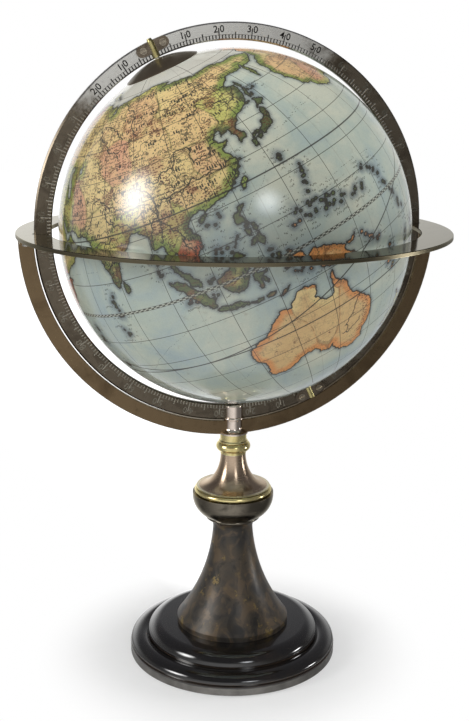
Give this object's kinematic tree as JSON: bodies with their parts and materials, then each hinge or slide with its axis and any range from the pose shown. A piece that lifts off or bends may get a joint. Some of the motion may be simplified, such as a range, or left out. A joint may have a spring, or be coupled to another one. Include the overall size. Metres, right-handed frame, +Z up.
{
  "type": "desktop globe on stand",
  "caption": "Antique style table globe: a varnished map ball turns in a graduated meridian ring that tilts in a half ring and horizon ring on a turned stand.",
  "frame": {"origin": "centre of the base's underside, on the table", "axes": "+Z up along the stand's axis; the meridian ring stands in the XZ plane and the north pole leans to -X; -Y is the graduated front"},
  "size_m": [0.2828, 0.2828, 0.4298],
  "materials": {
    "black_lacquer": "gloss black-brown lacquer on a hollow casting",
    "felt": "short dark green felt",
    "steel": "plain bright steel",
    "mottled_bronze": "polished dark bronze with mottled brown and gold patina",
    "bronze": "polished warm bronze",
    "brass": "polished yellow brass",
    "leather": "thin brown leather shim",
    "polished_bronze": "mirror polished grey bronze",
    "dark_bronze": "satin dark brown bronze",
    "meridian_bronze": "polished grey-brown bronze with engraved black degrees",
    "clamp_bronze": "dark bronze with worn brass edges",
    "ball_plastic": "plain moulded shell, hidden under the paper",
    "wood": "turned wood",
    "map_paper": "varnished printed paper, antique hand-coloured world map without lettering"
  },
  "bodies": {
    "stand": {"base_foot": "black_lacquer", "felt_pad": "felt", "base_washer": "steel", "base_nut": "steel", "tie_rod": "steel", "column": "mottled_bronze", "step_ring": "mottled_bronze", "knop": "mottled_bronze", "bell_rim": "brass", "bell": "bronze", "astragal": "brass", "ferrule": "brass", "fork_post": "bronze", "ring_screw": "steel", "half_ring": "dark_bronze", "rest_pad": "leather", "horizon_ring": "polished_bronze", "horizon_screws": "steel"},
    "meridian": {"meridian_ring": "meridian_bronze", "north_clamp": "clamp_bronze", "south_clamp": "clamp_bronze", "clamp_screws": "steel"},
    "globe": {"north_shell": "ball_plastic", "south_shell": "ball_plastic", "equator_hoop": "ball_plastic", "axle": "steel", "north_bush": "wood", "south_bush": "wood", "north_cap": "dark_bronze", "south_cap": "dark_bronze", "north_spacer": "brass", "south_spacer": "brass", "gore_01": "map_paper", "gore_02": "map_paper", "gore_03": "map_paper", "gore_04": "map_paper", "gore_05": "map_paper", "gore_06": "map_paper", "gore_07": "map_paper", "gore_08": "map_paper", "gore_09": "map_paper", "gore_10": "map_paper", "gore_11": "map_paper", "gore_12": "map_paper"}
  },
  "joints": [
    {"name": "meridian_tilt", "type": "hinge", "parent": "stand", "child": "meridian", "pos_m": [0, 0, 0.2998], "axis": [0, 1, 0], "range_deg": [-57, 16]},
    {"name": "globe_spin", "type": "hinge", "parent": "meridian", "child": "globe", "pos_m": [0, -0.002, 0.2998], "axis": [-0.4258, 0, 0.9048], "continuous": true}
  ]
}
